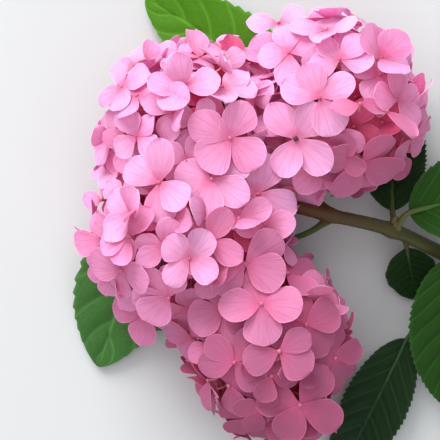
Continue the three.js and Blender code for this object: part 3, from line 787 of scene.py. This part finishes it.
def make_floret(lobe, number, middle, normal, side, reach, turns, kind):
    """A floret's facts: its place and facing, and the directions and forms of its sepals."""
    across = np.cross(normal, side)
    return SimpleNamespace(
        lobe=lobe,
        number=number,
        middle=middle,
        normal=normal,
        reach=reach,
        along=[math.cos(turn) * side + math.sin(turn) * across for turn in turns],
        lifts=[0.0] * len(turns),
        shapes=[sepal_shape(number * 7 + k, kind) for k in range(len(turns))],
        kind=kind,
        opened=False,
    )


def portrait_florets(lobe):
    """The florets that show plainly from the eye, placed one by one from the list."""
    florets = []
    for i, (at, reach, face, lean, turns, lift) in enumerate(PORTRAITS[lobe.name]):
        middle = seen_point(lobe, at, lift)
        normal = unit(mix(outward(lobe, middle), np.array([0, 0, 1.0]), face) + np.array([*lean, 0]))
        side = flattened(np.array([1.0, 0, 0]), normal)
        turns = [math.radians(turn) for turn in turns]
        kind = "inner" if lift <= DEEP_LIFT else "portrait"
        number = lobe.seed + PORTRAIT_NUMBERS + i
        florets.append(make_floret(lobe, number, middle, normal, side, reach, turns, kind))
        florets[-1].opened = i == lobe.opened
    return florets


def fill_variants(lobe, number, direction, kind):
    """A few ways to set one filling floret, of which the one that crosses its neighbours least is kept."""
    number += lobe.seed * 5
    for attempt in range(LAYERS[kind]["attempts"]):

        def chance(thing):
            return draw(number, thing + DRAWS_PER_ATTEMPT * attempt)

        surface = lobe.centre + direction * lobe.radii
        out = outward(lobe, surface)
        middle = surface - out * (LAYERS[kind]["depth"] + FILL_DEPTH * chance(1) - FILL_STAND)
        shake = np.array([chance(2), chance(3), chance(4)]) - 0.5
        normal = unit(out + 2 * FILL_LEAN * shake)
        side = flattened(np.array([chance(5), 1, chance(6)]), normal)
        turns = [k * math.pi / 2 + FILL_TURN * (chance(7 + k) - 0.5) for k in range(4)]
        reach = mix(*FILL_REACH, chance(11))
        yield make_floret(lobe, number, middle, normal, side, reach, turns, kind)


PROXY_QUADS = grid_quads(*PROXY_GRID).tolist()


def proxy(floret, number, lift):
    """A coarse sheet of a sepal, for finding what it crosses."""
    points = sepal_points(floret, number, lift, PROXY_GRID)[0].reshape(-1, 3)
    return points.tolist(), PROXY_QUADS


class Surroundings:
    """Sheets that are already placed, searched for those near a floret."""

    def __init__(self):
        self.sheets = []
        self.middles = np.empty((0, 3))

    def add(self, points, quads):
        self.sheets.append((points, quads))
        self.middles = np.vstack([self.middles, np.mean(points, axis=0)])

    def near(self, place, distance):
        points, quads = [], []
        for number in np.flatnonzero(np.linalg.norm(self.middles - place, axis=1) < distance):
            sheet = self.sheets[number]
            quads += [[v + len(points) for v in quad] for quad in sheet[1]]
            points += sheet[0]
        return BVHTree.FromPolygons(points, quads) if quads else None


def crossings(tree, points, quads):
    """How many faces of a sheet cross what the tree holds."""
    return len(tree.overlap(BVHTree.FromPolygons(points, quads))) if tree else 0


def outside_points(floret):
    """How many points of a floret's coarse sheets fall outside the bloom's outline."""
    lifts = enumerate(floret.lifts)
    return sum(outside_count(proxy(floret, number, lift)[0]) for number, lift in lifts)


def lay_down_outside(floret):
    """Lays down each standing sepal that reaches out of the bloom's outline."""
    for number, shape in enumerate(floret.shapes):
        if shape.stand and outside_count(proxy(floret, number, floret.lifts[number])[0]):
            shape.stand = 0


def settle(floret, surroundings):
    """Lifts or lowers each sepal until it crosses what is near as little as it can. Returns the cost."""
    tree = surroundings.near(floret.middle, NEAR_REACH * floret.reach)
    total = 0
    for number in range(len(floret.along)):
        best = None
        for lift in LIFTS:
            cost = crossings(tree, *proxy(floret, number, lift)) + LIFT_COST * abs(lift)
            if best is None or cost < best[0]:
                best = (cost, lift)
            if cost < SMALL_COST:
                break
        total += best[0]
        floret.lifts[number] = best[1]
    return total


def has_room(lobe, middle, spacing, florets):
    """Whether a filling floret fits here: over the floor, out of other lobes and clear of florets."""
    if middle[2] < LEAST_HEIGHT or depth_in_others(lobe, middle) < LOBE_BORDER:
        return False
    return all(np.linalg.norm(floret.middle - middle) >= spacing for floret in florets)


def grow_florets(surroundings):
    """All florets of the bloom: the portraits, then the outer and the inner filling."""
    florets = []

    def place(floret):
        florets.append(floret)
        for number, lift in enumerate(floret.lifts):
            surroundings.add(*proxy(floret, number, lift))

    for lobe in LOBES:
        for floret in portrait_florets(lobe):
            settle(floret, surroundings)
            place(floret)
    for kind, layer in LAYERS.items():
        for lobe in LOBES:
            for i in range(layer["directions"]):
                direction = even_direction(i, layer["directions"])
                ways = list(fill_variants(lobe, i + layer["first_number"], direction, kind))
                if not has_room(lobe, ways[0].middle, layer["spacing"], florets):
                    continue
                costs = [settle(way, surroundings) + OUTSIDE_COST * outside_points(way) for way in ways]
                best = ways[costs.index(min(costs))]
                if outside_points(best) < OUTSIDE_LIMIT:
                    lay_down_outside(best)
                    place(best)
    return florets


def tone_of(floret):
    """Number of the sepal tone: palest high on the bloom's upper left by painted light, duskiest low on its
    right by painted shade, with a spread by chance.
    """
    x, y, z = floret.middle
    shade = 0
    for shade_x, shade_y, size, depth in PAINTED_SHADES:
        shade += depth * math.exp(-((x - shade_x) ** 2 + (y - shade_y) ** 2) / size**2)
    shade *= np.clip(z / PAINTED_SHADE_LEVEL, LEAST_PAINTED_SHADE, 1)
    chance = draw(floret.number, 41) - 0.5
    light = LIGHTNESS + PAINTED_LIGHT_UPWARD * y - PAINTED_SHADE_RIGHTWARD * x - shade + LIGHTNESS_SPREAD * chance
    last = len(SEPAL_TONES) - 1
    return int(np.clip(round((1 - light) * last), 0, last))


def add_sepals(shape, floret):
    """Adds a floret's sepals as closed thin shells."""
    inner = floret.kind == "inner"
    grid = INNER_GRID if inner else SEPAL_GRID
    material = len(SEPAL_TONES) if inner else tone_of(floret)
    for number, lift in enumerate(floret.lifts):
        points, uv, rim, share = sepal_points(floret, number, lift, grid)
        stand = floret.shapes[number].stand
        facing = math.cos(stand) * floret.normal - math.sin(stand) * floret.along[number]
        chance = np.full(rim.shape, draw(floret.number * 3 + number, 51))
        tint = np.stack([rim, share, chance], -1)
        shape.add_sheet(points, 0.5 * SEPAL_THICKNESS * facing, grid, uv, tint, material)


def add_bud(shape, floret):
    """Adds the small round bud at a floret's middle, with a cross of four shallow grooves."""
    turn, tilt, quads = ball_grid(*BUD_GRID)
    size = OPENED_BUD_RADIUS if floret.opened else mix(*BUD_RADII, draw(floret.number, 62))
    radius = size * (1 - BUD_GROOVE * np.abs(np.cos(2 * turn)) ** 6 * np.sin(tilt))
    across = np.cross(floret.normal, floret.along[0])
    points = floret.middle + 0.5 * size * floret.normal + (
        (radius * np.sin(tilt) * np.cos(turn))[..., None] * floret.along[0]
        + (radius * np.sin(tilt) * np.sin(turn))[..., None] * across
        + (radius * 0.9 * np.cos(tilt))[..., None] * floret.normal
    )
    tint = draw(floret.number, 61)
    shape.add(points.reshape(-1, 3), quads, None, tint, int(floret.opened))


def leaf_outline(share):
    """Half the width of a leaf at a share of its length, as a part of its widest half width."""
    return np.maximum(0.02, np.sin(math.pi * share**LEAF_WIDEST_SHIFT) ** LEAF_FULLNESS)


def leaf_surface(midrib, half_width, facing):
    """The middle surface of a blade, its normals and its UV places for the veins."""
    rows, columns = LEAF_GRID
    route, tangents = smooth_route(midrib, rows)
    share, side = np.meshgrid(np.linspace(0, 1, rows + 1), np.linspace(-1, 1, columns + 1), indexing="ij")
    across = np.cross(tangents, np.array(facing, float))
    across /= np.linalg.norm(across, axis=1, keepdims=True)
    normals = np.cross(across, tangents)
    tooth = (share * LEAF_TEETH) % 1
    teeth = 1 + LEAF_TOOTH_DEPTH * (tooth - 0.4) * np.abs(side) ** 6 * np.sin(math.pi * share) ** 0.3
    width = half_width * leaf_outline(share)
    sideways = side * width * teeth
    order = share - LEAF_VEIN_SWEEP * np.abs(side) ** 1.2 * (1 - 0.5 * share)
    veins = order * LEAF_SIDE_VEINS + 0.5 * (side > 0)
    fade = np.sin(math.pi * np.clip(share, 0, 1)) ** 0.5 * (1 - np.abs(side) ** 4)
    pucker = LEAF_PUCKER * np.abs(np.sin(math.pi * veins)) * fade
    channel = -LEAF_CHANNEL_DEPTH * np.exp(-((sideways / LEAF_CHANNEL_WIDTH) ** 2)) * (1 - share)
    wave = LEAF_WAVE * np.sin(7 * share * math.pi + 2 * side) * side**2 * np.sin(math.pi * share)
    height = LEAF_FOLD * np.abs(sideways) + pucker + channel + wave
    across, normals = across[:, None, :], normals[:, None, :]
    points = route[:, None, :] + sideways[..., None] * across + height[..., None] * normals
    return points, np.broadcast_to(normals, points.shape), np.stack([side, veins], -1)


def leaf_stalk_radius(share):
    """A thick foot on the stem, and a taper to the midrib's thin end."""
    return mix(*LEAF_STALK_RADII, min(1, share * 1.1)) + LEAF_STALK_FOOT * math.exp(-((share / 0.05) ** 2))


def make_leaf(name, stalk, midrib, half_width, facing, green):
    """One leaf, as its blade and its stalk with the midrib. Returns a coarse grid of the blade."""
    node = "leaf_" + name
    blade = Shape()
    points, normals, veins = leaf_surface(midrib, half_width, facing)
    points[..., 2] = np.maximum(points[..., 2], LEAF_LEVEL)
    blade.add_sheet(points, 0.5 * LEAF_THICKNESS * normals, LEAF_GRID, veins)
    blade.piece(node + "_blade", [leaf_material("leaf " + name, green)], "leaves", node)
    rib, _ = smooth_route(midrib, 40)
    limb_points, quads, places = tube([*stalk, *rib[[4, 16, 30]]], leaf_stalk_radius, 12, 60)
    limb_points[:, 2] = np.maximum(limb_points[:, 2], LEAF_STALK_LEVEL)
    limb = Shape()
    limb.add(limb_points, quads, places, np.clip(places[:, 1:] / 30, 0.2, 1))
    finish = stalk_material("leaf stalk " + name, (0.11, 0.07, 0.03), scaled(green, 1.7, 0.012))
    limb.piece(node + "_stalk", [finish], "leaves", node)
    return points[::10, ::6]


def stem_radius(share):
    """A slow swell to the cut end, with a thick ring at each leaf joint."""
    swell = sum(math.exp(-(((share - joint) / STEM_JOINT_LENGTH) ** 2)) for joint in STEM_JOINTS)
    return mix(*STEM_RADII, share) + STEM_JOINT_SWELL * swell


def make_stem():
    """The main stem with its knob, bark relief, side buds and cut end."""
    bark = Shape()

    def relief(place, angles):
        ridges = 0.07 * np.sin(5 * angles + 0.05 * place) + 0.05 * np.sin(11 * angles - 0.08 * place)
        rings = 0.05 * math.sin(place * 2.1) * math.sin(place * 0.37)
        return ridges + rings

    points, quads, places = tube(STEM_ROUTE, stem_radius, 32, 260, relief)
    start, end = STEM_DRIFT
    bark.add(points, quads, places, np.clip((points[:, :1] - start) / (end - start), 0, 1))
    turn, tilt, quads = ball_grid(12, 20)
    spread = np.stack([np.sin(tilt) * np.cos(turn), np.sin(tilt) * np.sin(turn), np.cos(tilt)], -1)
    bark.add((KNOB + KNOB_RADIUS * spread).reshape(-1, 3), quads, None, 0.0)
    bark.piece("stem_bark", [STEM_FINISH], "stem", "main_stem")
    buds = Shape()
    steps = 200
    route, _ = smooth_route(STEM_ROUTE, steps)
    for at, toward, length, radius in SIDE_BUDS:
        add_side_bud(buds, route[int(at * steps)], unit(toward), length, radius)
    buds.piece("side_buds", [BUD_SCALE_FINISH], "stem", "main_stem")


def add_side_bud(shape, foot, toward, length, radius):
    """A pointed side bud of two pairs of overlapping scales."""
    across = flattened(np.array([0.3, 0.2, 1.0]), toward)
    for pair, sideways in enumerate((across, np.cross(toward, across))):
        size = 1 - 0.22 * pair
        start = foot + 0.35 * length * toward * pair

        def radius_at(share):
            return 0.12 + radius * size * 0.75 * math.sin(math.pi * min(1, 0.08 + share * 0.9)) ** 0.8

        for lean in (-sideways, sideways):
            tip = start + length * size * toward + 0.15 * radius * lean
            middle = 0.5 * (start + tip) + 0.55 * radius * size * lean
            shape.add_tube([start, middle, tip], radius_at, 12, 16, 0.5)


def make_twigs(lobe, florets, bough_share):
    """The lobe's own stem, its rays and the thin stalks of its florets, as one piece."""
    centre = lobe.centre
    root = KNOB + bough_share * (centre - KNOB) + GAP * unit(centre - KNOB)
    heart = centre + HEART_SHARE * (root - centre)
    twigs = Shape()
    twigs.add_tube([root, 0.5 * (root + heart), heart], taper(LOBE_STEM_RADII), 8, 8, 0.3)
    tips = [heart]
    for i in range(RAY_DIRECTIONS):
        tip = centre + even_direction(i, RAY_DIRECTIONS) * lobe.radii * RAY_SHARE
        if depth_in_others(lobe, tip) > RAY_BORDER:
            bow = 0.5 * (heart + tip) + np.array([0, 0, RAY_BOW])
            twigs.add_tube([heart, bow, tip], taper(RAY_RADII), 8, 8, 0.3)
            tips.append(tip)
    for floret in florets:
        middle = floret.middle
        foot = min(tips, key=lambda tip: np.linalg.norm(tip - middle))
        bend = middle - STALK_STRAIGHT_END * floret.normal
        stalk = [foot, 0.5 * (foot + bend), bend, middle]
        twigs.add_tube(stalk, taper((STALK_RADIUS, STALK_RADIUS)), 8, 10, 0.7)
    twigs.piece(f"twigs_{lobe.name}", [TWIG_FINISH], "petals", f"bloom_{lobe.name}")


def make_bough(lobe, share):
    """The short bough that leads from the knob to a lobe."""
    toward = lobe.centre - KNOB
    foot = KNOB + 0.9 * KNOB_RADIUS * unit(toward)
    route = [foot, KNOB + 0.5 * share * toward, KNOB + share * toward]
    bough = Shape()
    bough.add_tube(route, taper(BOUGH_RADII), 14, 24, 0.2)
    bough.piece(f"bough_{lobe.name}_bark", [TWIG_FINISH], "boughs", f"bough_{lobe.name}")


def make_floor():
    """A plain pale floor."""
    mesh = bpy.data.meshes.new("floor")
    signs = [(-1, -1), (1, -1), (1, 1), (-1, 1)]
    corners = [(FLOOR_HALF_WIDTH * x, FLOOR_HALF_WIDTH * y, 0) for x, y in signs]
    mesh.from_pydata(corners, [], [(0, 1, 2, 3)])
    finish = Finish("floor")
    surface = finish.node("BsdfPrincipled", {"Base Color": FLOOR_COLOUR, "Roughness": 0.9})
    mesh.materials.append(finish.done(surface.outputs[0]))
    floor = in_scene("floor", mesh)
    floor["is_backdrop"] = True


def to_row(place):
    """A place in metres in the row frame."""
    return Vector((np.array(place, float) - FOOTPRINT_MIDDLE) * MM)


def make_camera():
    """A long lens straight above the bloom, with the photograph's upward direction along +Y."""
    data = bpy.data.cameras.new("camera")
    data.sensor_width = SENSOR_WIDTH
    data.lens = SENSOR_WIDTH * (EYE_HEIGHT - SIGHT_LEVEL) / VIEW_WIDTH
    data.clip_start = 0.01
    camera = in_scene("camera", data)
    camera.location = to_row((0, 0, EYE_HEIGHT))
    bpy.context.scene.camera = camera


def area_light(name, place, size, power, colour):
    """A round soft light that points at the bloom's middle."""
    data = bpy.data.lights.new(name, "AREA")
    data.shape = "DISK"
    data.size = size
    data.energy = power
    data.color = colour
    light = in_scene(name, data)
    light.location = to_row(place)
    light.rotation_euler = (to_row(LIGHT_TARGET) - light.location).to_track_quat("-Z", "Y").to_euler()


def make_lights():
    """Soft daylight from the top of the picture, with weak fills from the eye's side and from below it."""
    for light in LIGHTS:
        area_light(*light)
    world = bpy.data.worlds.new("sky")
    world.use_nodes = True
    background = world.node_tree.nodes["Background"]
    background.inputs["Color"].default_value = (*SKY_COLOUR, 1)
    background.inputs["Strength"].default_value = SKY_STRENGTH
    bpy.context.scene.world = world


make_camera()
make_lights()
make_floor()
bpy.context.scene.view_settings.view_transform = "Standard"

STEM_FINISH = stalk_material("stem bark", (0.085, 0.03, 0.013), (0.055, 0.06, 0.014))
TWIG_FINISH = stalk_material("twig", (0.34, 0.22, 0.11), (0.70, 0.2, 0.29))
BUD_SCALE_FINISH = stalk_material("bud scales", (0.11, 0.12, 0.035), (0.14, 0.08, 0.035))
FLORET_BUD_FINISH = stalk_material("floret buds", (0.62, 0.1, 0.2), (0.62, 0.24, 0.34))
OPENED_BUD_FINISH = stalk_material("opened bud", (0.05, 0.02, 0.02), (0.1, 0.06, 0.05))
SEPAL_FINISHES = [
    sepal_material(f"sepal {i + 1}", tone, ROOT_TONES[0], GLOWS[0]) for i, tone in enumerate(SEPAL_TONES)
]
SEPAL_FINISHES.append(sepal_material("sepal inner", PAINTED_GAP_GLOW_TONE, ROOT_TONES[1], GLOWS[1]))

surroundings = Surroundings()
for leaf in LEAVES:
    coarse = make_leaf(*leaf)
    rows, columns = coarse.shape[0] - 1, coarse.shape[1] - 1
    surroundings.add(coarse.reshape(-1, 3).tolist(), grid_quads(rows, columns).tolist())
make_stem()

florets = grow_florets(surroundings)
for lobe, share in zip(LOBES, BOUGH_SHARES):
    own = [floret for floret in florets if floret.lobe is lobe]
    sepals = Shape()
    buds = Shape()
    for floret in own:
        add_sepals(sepals, floret)
        add_bud(buds, floret)
    sepals.piece(f"sepals_{lobe.name}", SEPAL_FINISHES, "petals", f"bloom_{lobe.name}")
    finishes = [FLORET_BUD_FINISH, OPENED_BUD_FINISH]
    buds.piece(f"floret_buds_{lobe.name}", finishes, "petals", f"bloom_{lobe.name}")
    make_twigs(lobe, own, share)
    make_bough(lobe, share)

[[list(map(float, corner)) for corner in box] for box in (cad_box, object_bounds())]
